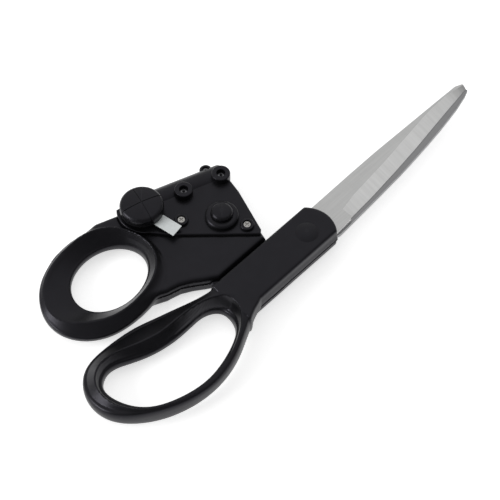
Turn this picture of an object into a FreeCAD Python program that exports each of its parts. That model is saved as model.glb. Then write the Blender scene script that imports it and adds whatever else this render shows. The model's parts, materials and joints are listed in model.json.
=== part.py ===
import FreeCAD, Part
import math
import os
from FreeCAD import Vector

# Right-handed dressmaker's shears, 250 mm long, with a laser line guide built into the thumb handle.
# Millimetres. The shears lie on their flat underside at z = 0 and the pivot axis is the Z axis.
# +X runs along the neck towards the blade tips, +Y towards the thumb ring and the laser housing.
# Two halves turn on the pivot: the thumb half (lower blade, ring, housing) and the finger half
# (upper blade, loop). They slide on each other in the plane z = BLADE_PLANE.

# ---- heights -------------------------------------------------------------------------------
BLADE_PLANE = 7.5
SLIDE_GAP = 0.1
HANDLE_TOP = 15.0
WEB_TOP = 11.0
COVER_UNDERSIDE = 10.4
COVER_TOP = 12.2
BLADE_THICK = 2.0
UPPER_LEVEL = BLADE_PLANE + SLIDE_GAP / 2
LOWER_LEVEL = BLADE_PLANE - SLIDE_GAP / 2

# ---- pivot ---------------------------------------------------------------------------------
SHANK_R = 2.95
PIVOT_BORE_R = 3.0
SCREW_HEAD_R = 5.0
HEAD_POCKET_R = 5.2
CAP_R = 5.6
CAP_RISE = 1.3
NUT_R = 6.2
NUT_POCKET_R = 7.2
PLUG_THICK = 1.0

# ---- neck ----------------------------------------------------------------------------------
NECK_RIGHT = -9.5
NECK_LEFT = 11.2
NECK_FRONT = 14.5
NECK_BACK = -47.0
WEB_EDGE = 13.7
LOWER_NECK_REACH = 50.0
LOOP_RELIEF = 51.5

# ---- blades: stations along the blade's centreline, measured from the pivot -------------------
BLADE_TURN = math.radians(2.7)
CENTRELINE_Y = 0.6
UPPER_SPINE = ((14, 9.6), (40, 8.7), (60, 7.8), (84, 6.1), (109, 4.3), (117.5, 3.6), (121, 1.9))
UPPER_EDGE = ((14, -7.5), (24, -7.5), (40, -7.2), (60, -6.1), (75, -5.0), (100, -2.5), (121, -0.6))
UPPER_BEVEL = ((24, -2.0), (34, -0.5), (60, 0.8), (75, 2.1), (94, 3.6), (107, 3.9), (121, 1.3))
LOWER_SPINE = ((14, 9.5), (41, 9.2), (61, 8.8), (76, 7.9), (91, 6.8), (106, 5.0), (115, 3.7), (121, 1.7))
BLADE_STATIONS = (24, 34, 40, 50, 60, 75, 84, 94, 100, 109, 117.5, 121)
EDGE_LAND = 0.15
TANG_END = -44.0
TANG_HOLES = (-24, -38)
TANG_HOLE_R = 1.6

# ---- laser housing ---------------------------------------------------------------------------
LASER_ANGLE = math.radians(-20)
LASER_NOSE = Vector(0.0, 53.9, 0)
LASER_Z = 6.0
TUBE_R = 7.2
TUBE_BORE_R = 5.2
TUBE_BACK = -53.0
COVER_TUBE_BACK = -38.0
BORE_BACK = -29.5
NOSE_WALL = 2.2
NOSE_FILLET = 2.2
APERTURE_R = 2.6
WINDOW_R = 3.6
BARREL_R = 4.5
BARREL_FRONT = -3.0
BARREL_BACK = -25.0
AIM_PIVOT = -5.0
TRUNNION_R = 1.0
TRUNNION_REACH = 6.2

# ---- battery -----------------------------------------------------------------------------------
BATTERY_AXIS = Vector(-44.7, 64.7, 0)
CELL_R = 5.8
CELL_HIGH = 5.4
WELL_R = 6.1
WELL_FLOOR = 3.0
COLLAR_R = 8.5
COLLAR_TOP = 18.0
CAP_SKIRT_R = 8.7
CAP_OUTER_R = 10.5
CAP_RIM = 15.2
CAP_CEILING = 18.3
CAP_DOME_TOP = 21.2
CAP_CROWN = 1.5
CAP_SHOULDER = 2.4
GROOVE_WIDE = 0.4
GROOVE_DEEP = 0.3
TAB_ANGLE = math.radians(-81)
TAB_WIDE = 6.7
TAB_THICK = 0.25
TAB_INNER = -4.0
TAB_OUTER = 20.8
TAB_LEVEL = WELL_FLOOR + 0.4 + 2 * CELL_HIGH + 0.15

# ---- power button --------------------------------------------------------------------------------
BUTTON_AXIS = Vector(-20.2, 35.9, 0)
BUTTON_R = 5.3
BUTTON_COLLAR_R = 8.1
BUTTON_GAP = 0.15
BUTTON_COLLAR_TOP = 15.0
COLLAR_FILLET = 1.8
POST_FILLET = 0.6
BUTTON_DOME_TOP = 18.3
BUTTON_CROWN = 1.1
BUTTON_SHOULDER = 2.0
FLANGE_R = 6.9
BOARD_LOW = 3.8
BOARD_SIZE = (15.0, 13.6)
BOARD_TURN = -45
BOARD_TOP = 4.6
SWITCH_SIDE = 6.0
SWITCH_TOP = 8.2
PLUNGER_R = 1.7
PLUNGER_TOP = 9.6

# ---- screws: the posts give each adjuster's axis, the post's radius and its top -----------------------
COVER_SCREWS = (Vector(-35.1, 48.1, 0), Vector(-15.4, 24.0, 0))
BOSS_R = 3.4
SCREW_SHANK_R = 0.88
SCREW_HEAD_SPACE = 2.1
BOSS_TOP = COVER_TOP + 1.5
POSTS = {"rear": (Vector(-23.2, 58.5, 0), 4.4, 15.7), "front": (Vector(-4.1, 52.5, 0), 4.5, 15.7),
         "side": (Vector(-5.0, 62.0, 0), 3.1, 9.7)}
# Each adjuster's radius, lowest and highest level.
ADJUSTERS = {"rear": (1.5, 10.1, 13.6), "front": (1.5, 10.7, 13.6), "side": (1.2, 7.2, 9.0)}
SCREW_PLAY = 0.05
SOCKET_SHARE = 0.55
TALL = 40.0

# ---- leads: routes from each solder joint to the circuit board ------------------------------------
LEAD_R = 0.42
LEAD_LEVEL = 5.15
PLATE_R = 5.4
PLATE_THICK = 0.3
TONGUE_WIDE = 2.0
TONGUE_REACH = 8.6
TONGUE_ANGLE = math.radians(-35.8)
FEED_LONG = 20.0
FEED_WIDE = 3.4
FEED_HIGH = 4.2


def put(name, shape):
    """Write one piece to its own file."""
    shape.exportStep("parts/" + name + ".step")


def at(axis, z):
    """The point on a vertical axis at height z."""
    return Vector(axis.x, axis.y, z)


def rod(axis, z_low, z_high, radius):
    """A vertical cylinder."""
    return Part.makeCylinder(radius, z_high - z_low, at(axis, z_low))


def tube(axis, z_low, z_high, outer, inner):
    """A vertical ring or sleeve."""
    return rod(axis, z_low, z_high, outer).cut(rod(axis, z_low - 1, z_high + 1, inner))


def slab(wire, z_low, z_high):
    """A flat wire drawn at z = 0, raised to a plate between two heights."""
    plate = Part.Face(wire).extrude(Vector(0, 0, z_high - z_low))
    plate.translate(Vector(0, 0, z_low))
    return plate


def loop(points):
    """A smooth closed curve through the points."""
    curve = Part.BSplineCurve()
    curve.interpolate(Points=[Vector(x, y, 0) for x, y in points], PeriodicFlag=True)
    return Part.Wire([curve.toShape()])


def polygon(points):
    """A closed outline of straight sides."""
    corners = [Vector(x, y, 0) for x, y in points]
    return Part.makePolygon(corners + corners[:1])


def laser_point(along, side, z):
    """A point measured from the nose, along the laser's axis and to its +Y side."""
    ahead = Vector(math.cos(LASER_ANGLE), math.sin(LASER_ANGLE), 0)
    across = Vector(-math.sin(LASER_ANGLE), math.cos(LASER_ANGLE), 0)
    return LASER_NOSE + ahead * along + across * side + Vector(0, 0, z)


def laser_rod(back, front, radius):
    """A cylinder about the laser's axis."""
    ahead = Vector(math.cos(LASER_ANGLE), math.sin(LASER_ANGLE), 0)
    return Part.makeCylinder(radius, front - back, laser_point(back, 0, LASER_Z), ahead)


def across_laser(start, end, radius):
    """A level cylinder across the laser's axis, through the point that the barrel rocks on."""
    across = Vector(-math.sin(LASER_ANGLE), math.cos(LASER_ANGLE), 0)
    return Part.makeCylinder(radius, end - start, laser_point(AIM_PIVOT, start, LASER_Z), across)


def rounded(solid, radius, wanted):
    """Fillet the edges that a test picks, by their middle points."""
    edges = [edge for edge in solid.Edges if wanted(edge)]
    return solid.makeFillet(radius, edges)


def flat_at(z):
    """A test for edges that lie in one level."""
    return lambda edge: edge.BoundBox.ZLength < 1e-6 and abs(edge.BoundBox.ZMin - z) < 1e-6


def soft_rod(axis, z_low, z_high, radius, fillet):
    """A vertical cylinder with its upper edge rounded."""
    return rounded(rod(axis, z_low, z_high, radius), fillet, flat_at(z_high))


# ---- blades --------------------------------------------------------------------------------------
def read(table, x):
    """Read a table of stations, straight between them."""
    for (x0, y0), (x1, y1) in zip(table, table[1:]):
        if x <= x1:
            return y0 + (y1 - y0) * (x - x0) / (x1 - x0)
    return table[-1][1]


def blade_outline(spine):
    """The blade's plan with its ricasso and tang, drawn with the spine on the +Y side."""
    points = [(TANG_END, -5.5), (-9, -5.5), (-6, -8.4), (13, -8.6), (22.4, -8.6), (24, -7.5)]
    points += [(x, read(UPPER_EDGE, x)) for x in BLADE_STATIONS[1:]]
    points += [(x, read(spine, x)) for x in reversed(BLADE_STATIONS)]
    points += [(14, spine[0][1]), (9, 8.2), (-9, 7.0), (TANG_END, 4.5)]
    return polygon(points)


def bevel_cutter():
    """The wedge that grinding takes off the blade's outer face, between its edge and bevel line."""
    sections = []
    for x in BLADE_STATIONS:
        edge = read(UPPER_EDGE, x)
        top = BLADE_THICK + 1
        slope = (BLADE_THICK - EDGE_LAND) / (read(UPPER_BEVEL, x) - edge)
        far_side = edge + (top - EDGE_LAND) / slope
        corners = ((edge - 2, EDGE_LAND - 2 * slope), (far_side, top), (edge - 2, top))
        sections.append(Part.makePolygon([Vector(x, y, z) for y, z in corners + corners[:1]]))
    ahead = Part.makeLoft(sections, True, True)
    first_end = Part.Face(sections[0]).extrude(Vector(-0.01, 0, 0))
    last_end = Part.Face(sections[-1]).extrude(Vector(5, 0, 0))
    return ahead.fuse([first_end, last_end])


def blade(spine):
    """A steel blade with its bevel up, its flat face at z = 0 and its spine at +Y."""
    body = slab(blade_outline(spine), 0, BLADE_THICK)
    body = body.cut(rod(Vector(0, 0, 0), -1, BLADE_THICK + 1, PIVOT_BORE_R))
    for x in TANG_HOLES:
        body = body.cut(rod(Vector(x, 0, 0), -1, BLADE_THICK + 1, TANG_HOLE_R))
    return body.cut(bevel_cutter())


def upper_blade():
    """The finger half's blade: its spine lies to +Y and its cutting edge is in the sliding plane."""
    body = blade(UPPER_SPINE)
    body.rotate(Vector(0, 0, 0), Vector(0, 0, 1), math.degrees(BLADE_TURN))
    body.translate(Vector(0, 0, UPPER_LEVEL))
    return body


def lower_blade():
    """The thumb half's blade: the same blade turned over about its length, with a deeper spine."""
    body = blade(LOWER_SPINE)
    body.rotate(Vector(0, 0, 0), Vector(1, 0, 0), 180)
    body.rotate(Vector(0, 0, 0), Vector(0, 0, 1), math.degrees(BLADE_TURN))
    body.translate(Vector(0, 0, LOWER_LEVEL))
    return body


# ---- handles -------------------------------------------------------------------------------------
def neck_outline(back):
    """The neck's plan: straight sides and a front end rounded about the pivot."""
    right = Vector(10.8, NECK_RIGHT, 0)
    left = Vector(9.8, NECK_LEFT, 0)
    front = Part.Arc(right, Vector(NECK_FRONT, CENTRELINE_Y, 0), left).toShape()
    back_left = Vector(back, NECK_LEFT, 0)
    back_right = Vector(back, NECK_RIGHT, 0)
    sides = Part.makePolygon([left, back_left, back_right, right])
    return Part.Wire([front] + sides.Edges)


FINGER_OUTER = ((-37.0, 0.6), (-38.0, -7.5), (-41, -9.7), (-46, -11.4), (-51, -13.6), (-57, -16.5),
                (-66, -20.8), (-84.7, -24.7), (-103, -22.0), (-119.2, -13.8), (-129.6, -2.2),
                (-130.7, 10.5), (-121.4, 23.4), (-106, 26.2), (-88, 24.2), (-70, 17.3), (-57, 12.2),
                (-47, 10.9), (-40, 8.5))
FINGER_HOLE = ((-54.8, -1.0), (-58.4, -10.5), (-67, -15.8), (-85.7, -20.1), (-102, -17.8),
               (-115.1, -11.0), (-121.2, 1.1), (-120.6, 11.6), (-113.7, 15.8), (-102.4, 12.4),
               (-87.6, 7.4), (-71, 6.6), (-59.2, 5.4))


def finger_handle():
    """The finger loop with its neck, moulded over the upper blade's tang."""
    ring = slab(loop(FINGER_OUTER), 0, HANDLE_TOP)
    ring = rounded(ring, 3.0, lambda edge: flat_at(0)(edge) or flat_at(HANDLE_TOP)(edge))
    hole = slab(loop(FINGER_HOLE), -1, HANDLE_TOP + 1)
    ring = ring.cut(hole)
    # The lower bar is slimmer: the loop thins from its full height at Y = -4 to 9 mm at Y = -26.
    side = ((20, 0), (-4, 0), (-26, 3), (-26, 12), (-4, HANDLE_TOP), (20, HANDLE_TOP))
    thinning = Part.Face(Part.makePolygon([Vector(-140, y, z) for y, z in side + side[:1]]))
    grown = thinning.extrude(Vector(110, 0, 0))
    tall = Part.makeBox(110, 24, HANDLE_TOP, Vector(-140, 10, 0))
    ring = ring.common(grown.fuse(tall))
    # Below the sliding plane the loop clears the end of the other half's neck.
    ring = ring.cut(rod(Vector(0, 0, 0), -1, UPPER_LEVEL, LOOP_RELIEF))
    neck = slab(neck_outline(NECK_BACK), UPPER_LEVEL, HANDLE_TOP)
    neck = rounded(neck, 1.5, flat_at(HANDLE_TOP))
    body = ring.fuse(neck)
    pocket = slab(blade_outline(UPPER_SPINE), -1, BLADE_THICK)
    pocket.rotate(Vector(0, 0, 0), Vector(0, 0, 1), math.degrees(BLADE_TURN))
    pocket.translate(Vector(0, 0, UPPER_LEVEL))
    body = body.cut(pocket)
    return body.cut(rod(Vector(0, 0, 0), UPPER_LEVEL, HANDLE_TOP + 1, HEAD_POCKET_R)).removeSplitter()


THUMB_OUTER = ((-116.5, 49), (-113.8, 61.5), (-104.3, 72.0), (-91.5, 76.9), (-79, 77.8), (-67, 75.0),
               (-58.5, 67.5), (-53.6, 56), (-53.6, 43), (-60.5, 32), (-73, 26.8), (-87.2, 25.9),
               (-99, 28.0), (-110.2, 35.1))
THUMB_HOLE_CENTRE = Vector(-78.7, 51.8, 0)
THUMB_HOLE_HALF = (19.8, 15.4)
WEB_LOWER = ((-73, 26.8), (-64.7, 25.2), (-59.7, 23.8), (-54.7, 21.0), (-49.7, 17.4), (-44, 13.7))
FRONT_EDGE = ((-12.2, 17.9), (-4.1, 40.4))


def thumb_hole(z_low, z_high, grow=0):
    """The oval hole for the thumb."""
    oval = Part.Ellipse(THUMB_HOLE_CENTRE, THUMB_HOLE_HALF[0] + grow, THUMB_HOLE_HALF[1] + grow)
    return slab(Part.Wire([oval.toShape()]), z_low, z_high)


def housing_outline():
    """The plan of the web and of the laser housing that it grows into."""
    tube_back = laser_point(TUBE_BACK, TUBE_R - 1.2, 0)
    tube_front = laser_point(-1, 0, 0)
    points = list(WEB_LOWER)
    points += [(-13.4, WEB_EDGE), FRONT_EDGE[0], FRONT_EDGE[1], (tube_front.x, tube_front.y)]
    points += [(tube_back.x, tube_back.y), (-60, 77.2), (-80, 77)]
    return polygon(points)


def cover_outline():
    """The plan of the housing's front cover, without its tube ridge."""
    centre = Vector(-41.2, 65.1, 0)
    radius = 14.6
    start = math.radians(203)
    end = math.radians(139)
    rear = Vector(-43.5, 45.4, 0)
    headings = (end, (start + end) / 2, start)
    arc_points = [centre + Vector(math.cos(angle), math.sin(angle), 0) * radius for angle in headings]
    arc = Part.Arc(*arc_points).toShape()
    corner = Vector(-14.2, 16.2, 0)
    front = [Vector(x, y, 0) for x, y in FRONT_EDGE]
    tube_front = laser_point(-1, 0, 0)
    tube_back = laser_point(-42, 4, 0)
    sides = [arc_points[2], rear, corner, front[0], front[1], tube_front, tube_back, arc_points[0]]
    return Part.Wire([arc] + Part.makePolygon(sides).Edges)


def tube_shell(back):
    """The laser tube's outside, flattened at the table, with a softened nose."""
    body = laser_rod(back, 0, TUBE_R)
    nose = laser_point(0, 0, LASER_Z)
    body = rounded(body, NOSE_FILLET, lambda edge: edge.BoundBox.Center.distanceToPoint(nose) < 0.1)
    return body.common(Part.makeBox(200, 200, TALL, Vector(-120, -40, 0)))


def tube_bore():
    """The space inside the tube: the barrel's bore and trunnions, the window's seat and the aperture."""
    bore = laser_rod(BORE_BACK, -NOSE_WALL, TUBE_BORE_R)
    seat = laser_rod(-NOSE_WALL - 1, -NOSE_WALL + 1.1, WINDOW_R + 0.05)
    sockets = across_laser(-TRUNNION_REACH - 0.1, TRUNNION_REACH + 0.1, TRUNNION_R + 0.08)
    return bore.fuse([seat, sockets, laser_rod(-5, 1, APERTURE_R)])


def board_space():
    """The room under the cover for the circuit board and the switch, with a channel to the laser."""
    room = slab(polygon(((-30.5, 35.4), (-20.0, 24.9), (-17.0, 27.6), (-12.2, 27.6), (-7.3, 40.6),
                         (-8.5, 47.0), (-29.5, 54.6), (-31.0, 50.5))), 2, COVER_UNDERSIDE)
    channel = slab(polygon(((-31, 50), (-27, 50), (-25.5, 62), (-29, 64))), 4.2, COVER_UNDERSIDE)
    feed = Part.makeBox(FEED_LONG, FEED_WIDE, FEED_HIGH, Vector(0, -FEED_WIDE / 2, 0))
    feed.rotate(Vector(0, 0, 0), Vector(0, 0, 1), math.degrees(TONGUE_ANGLE))
    feed.translate(at(BATTERY_AXIS, WELL_FLOOR))
    return room.fuse([channel, feed])


def cover_space():
    """The room that the cover takes: its plate and everything above, and the upper half of the tube."""
    upper_tube = laser_rod(COVER_TUBE_BACK, 5, TUBE_R + 0.02).common(above_laser())
    return slab(cover_outline(), COVER_UNDERSIDE, TALL).fuse(upper_tube)


def above_laser():
    """Everything above the laser's axis, where the housing splits along the tube."""
    return Part.makeBox(200, 200, TALL, Vector(-120, -40, LASER_Z))


def below_laser():
    """Everything from the table up to the laser's axis."""
    return Part.makeBox(200, 200, LASER_Z, Vector(-120, -40, 0))


def thumb_handle():
    """The thumb ring, its web and lower neck, and the back of the laser housing, in one moulding."""
    ring = slab(loop(THUMB_OUTER), 0, HANDLE_TOP)
    ring = rounded(ring, 3.5, lambda edge: flat_at(0)(edge) or flat_at(HANDLE_TOP)(edge))
    web = slab(housing_outline(), 0, WEB_TOP).cut(cover_space())
    neck = slab(neck_outline(NECK_BACK), 0, LOWER_LEVEL)
    back_round = rod(Vector(0, 0, 0), 0, LOWER_LEVEL, LOWER_NECK_REACH)
    strip = Part.makeBox(40, NECK_LEFT - NECK_RIGHT + 4, LOWER_LEVEL, Vector(-60, NECK_RIGHT, 0))
    corner = polygon(((-46, 5), (-13, 5), (-13.4, WEB_EDGE + 0.5), (-45, WEB_EDGE + 0.5)))
    under = neck.fuse([strip.common(back_round), slab(corner, 0, LOWER_LEVEL)])
    tube_back = tube_shell(TUBE_BACK).common(below_laser())
    body = ring.cut(cover_space()).fuse([web, under, tube_back]).cut(thumb_hole(-1, HANDLE_TOP + 1))
    battery_well = rod(BATTERY_AXIS, WELL_FLOOR, TALL, WELL_R)
    body = body.cut([battery_well, board_space()])
    side_post, side_r = POSTS["side"][:2]
    body = body.fuse(rod(side_post, 0, LASER_Z, side_r)).cut(tube_bore())
    for name, (radius, low, high) in ADJUSTERS.items():
        body = body.cut(rod(POSTS[name][0], low - 1, TALL, radius + SCREW_PLAY))
    for axis in COVER_SCREWS:
        body = body.cut(rod(axis, 3, COVER_UNDERSIDE + 1, SCREW_SHANK_R + 0.02))
    pocket = slab(blade_outline(LOWER_SPINE), -1, BLADE_THICK)
    pocket.rotate(Vector(0, 0, 0), Vector(1, 0, 0), 180)
    pocket.rotate(Vector(0, 0, 0), Vector(0, 0, 1), math.degrees(BLADE_TURN))
    pocket.translate(Vector(0, 0, LOWER_LEVEL))
    body = body.cut(pocket)
    return body.cut(rod(Vector(0, 0, 0), -1, LOWER_LEVEL, NUT_POCKET_R)).removeSplitter()


def laser_cover():
    """The housing's front cover: a plate with the tube ridge, battery collar, button collar and posts."""
    plate = slab(cover_outline(), COVER_UNDERSIDE, COVER_TOP)
    plate = rounded(plate, 0.7, flat_at(COVER_TOP))
    ridge = tube_shell(COVER_TUBE_BACK).common(above_laser())
    body = plate.fuse([ridge, rod(BATTERY_AXIS, COVER_UNDERSIDE, COLLAR_TOP, COLLAR_R)])
    collar = soft_rod(BUTTON_AXIS, COVER_UNDERSIDE, BUTTON_COLLAR_TOP, BUTTON_COLLAR_R, COLLAR_FILLET)
    body = body.fuse(collar)
    for axis in COVER_SCREWS:
        body = body.fuse(soft_rod(axis, COVER_UNDERSIDE, BOSS_TOP, BOSS_R, POST_FILLET))
    for name, (post, radius, top) in POSTS.items():
        bottom = LASER_Z if name == "side" else COVER_UNDERSIDE
        body = body.fuse(soft_rod(post, bottom, top, radius, POST_FILLET))
    cuts = [tube_bore(), rod(BATTERY_AXIS, 0, TALL, WELL_R)]
    cuts.append(rod(BUTTON_AXIS, 0, TALL, BUTTON_R + BUTTON_GAP))
    cuts.append(rod(BUTTON_AXIS, 0, COVER_TOP + 0.2, FLANGE_R + 0.3))
    for axis in COVER_SCREWS:
        cuts.append(rod(axis, 0, TALL, 1.3))
        cuts.append(rod(axis, COVER_TOP, TALL, SCREW_HEAD_SPACE))
    for name, (radius, low, high) in ADJUSTERS.items():
        cuts.append(rod(POSTS[name][0], LASER_Z, TALL, radius + SCREW_PLAY))
        cuts.append(rod(POSTS[name][0], high, TALL, radius + 0.7))
    tab_slot = Part.makeBox(COLLAR_R + 4, TAB_WIDE + 0.6, TAB_THICK + 0.5, Vector(0, -TAB_WIDE / 2 - 0.3, 0))
    cuts.append(tab_place(tab_slot, TAB_LEVEL - 0.25))
    return body.cut(cuts).removeSplitter()


def tab_place(solid, z):
    """Turn a solid drawn along +X to lie along the pull tab, out from the battery's axis."""
    solid = solid.copy()
    solid.rotate(Vector(0, 0, 0), Vector(0, 0, 1), math.degrees(TAB_ANGLE))
    solid.translate(at(BATTERY_AXIS, z))
    return solid


# ---- battery -------------------------------------------------------------------------------------
def crowned(axis, low, top, radius, crown, shoulder):
    """A cylinder with a slightly domed top and a rounded shoulder."""
    ball_r = (radius ** 2 + crown ** 2) / (2 * crown)
    body = rod(axis, low, top, radius).common(Part.makeSphere(ball_r, at(axis, top - ball_r)))
    return rounded(body, shoulder, flat_at(top - crown))


def battery_cap():
    """The screw cap: a crowned cap with two fine crossing grooves."""
    cap = crowned(BATTERY_AXIS, CAP_RIM, CAP_DOME_TOP, CAP_OUTER_R, CAP_CROWN, CAP_SHOULDER)
    kept = crowned(BATTERY_AXIS, CAP_RIM - 1, CAP_DOME_TOP - GROOVE_DEEP, CAP_OUTER_R - GROOVE_DEEP,
                   CAP_CROWN, CAP_SHOULDER)
    for turn in (-17, 73):
        blade_cut = Part.makeBox(30, GROOVE_WIDE, 10, Vector(-15, -GROOVE_WIDE / 2, 0))
        blade_cut.rotate(Vector(0, 0, 0), Vector(0, 0, 1), turn)
        blade_cut.translate(at(BATTERY_AXIS, CAP_RIM + 1))
        cap = cap.cut(blade_cut.cut(kept))
    return cap.cut(rod(BATTERY_AXIS, CAP_RIM - 1, CAP_CEILING, CAP_SKIRT_R)).removeSplitter()


def button_cell(low):
    """A coin-shaped cell: can, crimped rim and smaller top button."""
    can = rod(BATTERY_AXIS, low + 0.7, low + CELL_HIGH, CELL_R)
    can = can.makeChamfer(0.35, [edge for edge in can.Edges if edge.BoundBox.ZLength < 1e-6])
    return can.fuse(rod(BATTERY_AXIS, low, low + 0.8, 4.6)).removeSplitter()


def battery_contact():
    """The plate under the cells, with a tongue that leads out of the well to its lead."""
    plate = rod(BATTERY_AXIS, WELL_FLOOR, WELL_FLOOR + PLATE_THICK, PLATE_R)
    tongue = Part.makeBox(TONGUE_REACH, TONGUE_WIDE, PLATE_THICK, Vector(0, -TONGUE_WIDE / 2, 0))
    tongue.rotate(Vector(0, 0, 0), Vector(0, 0, 1), math.degrees(TONGUE_ANGLE))
    tongue.translate(at(BATTERY_AXIS, WELL_FLOOR))
    return plate.fuse(tongue).cut(rod(BATTERY_AXIS, 0, 10, 1.2)).removeSplitter()


def stacked_spring(axis, low, high, radius, wire, rings):
    """A compression spring of flat wire: a stack of rings, each joined to the next on alternate sides."""
    pitch = (high - low - wire) / (rings - 1)
    levels = [low + pitch * k for k in range(rings)]
    pieces = [tube(axis, level, level + wire, radius + wire / 2, radius - wire / 2) for level in levels]
    for k, level in enumerate(levels[1:]):
        side = Vector(radius * (-1) ** k, 0, 0)
        pieces.append(rod(axis + side, level - pitch, level, 0.4 * wire))
    return pieces[0].fuse(pieces[1:]).removeSplitter()


def pull_tab():
    """The insulating strip that is pulled out before first use."""
    strip = Part.makeBox(TAB_OUTER - TAB_INNER, TAB_WIDE, TAB_THICK, Vector(TAB_INNER, -TAB_WIDE / 2, 0))
    return tab_place(strip, TAB_LEVEL)


# ---- switch and board ------------------------------------------------------------------------------
def power_button():
    """The domed push button, kept in by a flange under the cover."""
    body = crowned(BUTTON_AXIS, 11.0, BUTTON_DOME_TOP, BUTTON_R, BUTTON_CROWN, BUTTON_SHOULDER)
    body = body.fuse(rod(BUTTON_AXIS, 11.0, COVER_TOP - 0.1, FLANGE_R))
    return body.fuse(rod(BUTTON_AXIS, PLUNGER_TOP + 0.1, 11.0, 2.2)).removeSplitter()


def board_box(centre, size, low, high):
    """A square-cornered part of the board, which lies along the housing's straight edge."""
    corner = Vector(centre[0] - size[0] / 2, centre[1] - size[1] / 2, low)
    part = Part.makeBox(size[0], size[1], high - low, corner)
    part.rotate(Vector(0, 0, 0), Vector(0, 0, 1), BOARD_TURN)
    part.translate(BUTTON_AXIS)
    return part


def switch_body():
    """The switch's square case, bored for its plunger."""
    case = board_box((0, 0), (SWITCH_SIDE, SWITCH_SIDE), BOARD_TOP, SWITCH_TOP)
    return case.cut(rod(BUTTON_AXIS, 6.0, 20, PLUNGER_R + 0.1))


def run_and_arcs(points, share=0.45):
    """A wire of straight runs joined by tangent arcs, each as large as its shorter run allows."""
    edges = []
    start = points[0]
    for before, corner, after in zip(points, points[1:], points[2:]):
        back = (before - corner).normalize()
        ahead = (after - corner).normalize()
        reach = share * min((before - corner).Length, (after - corner).Length)
        turn = math.pi - back.getAngle(ahead)
        bisector = (back + ahead).normalize()
        radius = reach / math.tan(turn / 2)
        middle = corner + bisector * (math.hypot(radius, reach) - radius)
        tangent_in = corner + back * reach
        tangent_out = corner + ahead * reach
        edges.append(Part.LineSegment(start, tangent_in).toShape())
        edges.append(Part.Arc(tangent_in, middle, tangent_out).toShape())
        start = tangent_out
    edges.append(Part.LineSegment(start, points[-1]).toShape())
    return Part.Wire(edges)


def lead(points):
    """An insulated lead along a route."""
    path = run_and_arcs(points)
    first = path.Edges[0]
    direction = first.tangentAt(first.FirstParameter)
    section = Part.Wire([Part.makeCircle(LEAD_R, points[0], direction)])
    tube_length = math.pi * LEAD_R ** 2 * path.Length
    solid = path.makePipeShell([section], True, False)
    print("lead volume over section times length:", round(solid.Volume / tube_length, 4))
    return solid


def battery_lead():
    """The lead from the contact's tongue, along its channel and on to the board."""
    level = WELL_FLOOR + PLATE_THICK + LEAD_R + 0.02
    tip = TONGUE_REACH - 0.4
    start = BATTERY_AXIS + Vector(math.cos(TONGUE_ANGLE), math.sin(TONGUE_ANGLE), 0) * tip
    return lead([at(start, level), Vector(-30.0, 54.1, level), Vector(-29.5, 47.0, 4.4),
                 Vector(-27.8, 41.9, LEAD_LEVEL), Vector(-25.9, 38.6, LEAD_LEVEL)])


def laser_lead(side):
    """One of the two leads from the diode's back, round into the channel and on to the board."""
    shift = -0.7 * side
    return lead([laser_point(-24.25, side, LASER_Z), laser_point(-27.8 - side, side, LEAD_LEVEL + 0.1),
                 Vector(-28.2 + shift, 54.0, LEAD_LEVEL + 0.1), Vector(-25.5 + 1.2 * shift, 47.0, LEAD_LEVEL),
                 Vector(-23.5 + 1.3 * shift, 41.6, LEAD_LEVEL)])


# ---- laser ---------------------------------------------------------------------------------------
def laser_barrel():
    """The brass barrel, with the diode behind, the line lens in front and a trunnion on each side."""
    body = laser_rod(BARREL_BACK, BARREL_FRONT, BARREL_R)
    body = body.fuse(across_laser(-TRUNNION_REACH, TRUNNION_REACH, TRUNNION_R))
    return body.cut([laser_rod(-10, 0, 3.2), laser_rod(-21, -9, 2.2), laser_rod(-30, -20, 2.9)])


def laser_diode():
    """The diode in its can at the barrel's back."""
    can = laser_rod(-24.0, -20.2, 2.8)
    return can.fuse(laser_rod(-20.3, -18.6, 2.0)).removeSplitter()


def line_lens():
    """The rod lens that fans the beam into a line."""
    return laser_rod(-6.5, -3.6, 3.1)


def laser_window():
    """The clear disc behind the nose's aperture."""
    return laser_rod(-NOSE_WALL, -NOSE_WALL + 1.0, WINDOW_R)


def adjusting_screw(name):
    """A grub screw with a hexagon socket, deep in its post."""
    radius, low, high = ADJUSTERS[name]
    post = POSTS[name][0]
    turns = [math.radians(60 * k) for k in range(6)]
    reach = SOCKET_SHARE * radius
    corners = [(post.x + reach * math.cos(turn), post.y + reach * math.sin(turn)) for turn in turns]
    socket = polygon(corners)
    return rod(post, low, high, radius).cut(slab(socket, high - 1.2, high + 1))


# ---- fasteners and pivot ---------------------------------------------------------------------------
def cover_screw(axis):
    """A small cross-headed screw."""
    seat = COVER_TOP + 0.02
    head = soft_rod(axis, seat, COVER_TOP + 1.1, 1.95, 0.5)
    body = head.fuse(rod(axis, 4.5, seat, SCREW_SHANK_R))
    for long, wide in ((2.4, 0.5), (0.5, 2.4)):
        corner = Vector(axis.x - long / 2, axis.y - wide / 2, COVER_TOP + 0.5)
        body = body.cut(Part.makeBox(long, wide, 2, corner))
    return body.removeSplitter()


def pivot_screw():
    """The shouldered pivot screw, its head down in the upper neck."""
    origin = Vector(0, 0, 0)
    head_low = UPPER_LEVEL + BLADE_THICK + 0.05
    head = rod(origin, head_low, head_low + 2.6, SCREW_HEAD_R)
    head = head.cut(Part.makeBox(12, 1.2, 2, Vector(-6, -0.6, head_low + 1.6)))
    return head.fuse(rod(origin, 1.6, head_low, SHANK_R)).removeSplitter()


def pivot_nut():
    """The slotted round nut under the lower blade."""
    origin = Vector(0, 0, 0)
    nut = tube(origin, 1.4, 4.5, NUT_R, SHANK_R)
    nut = nut.cut(Part.makeBox(20, 1.6, 1.2, Vector(-10, -0.8, 1.4)))
    return nut


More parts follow.
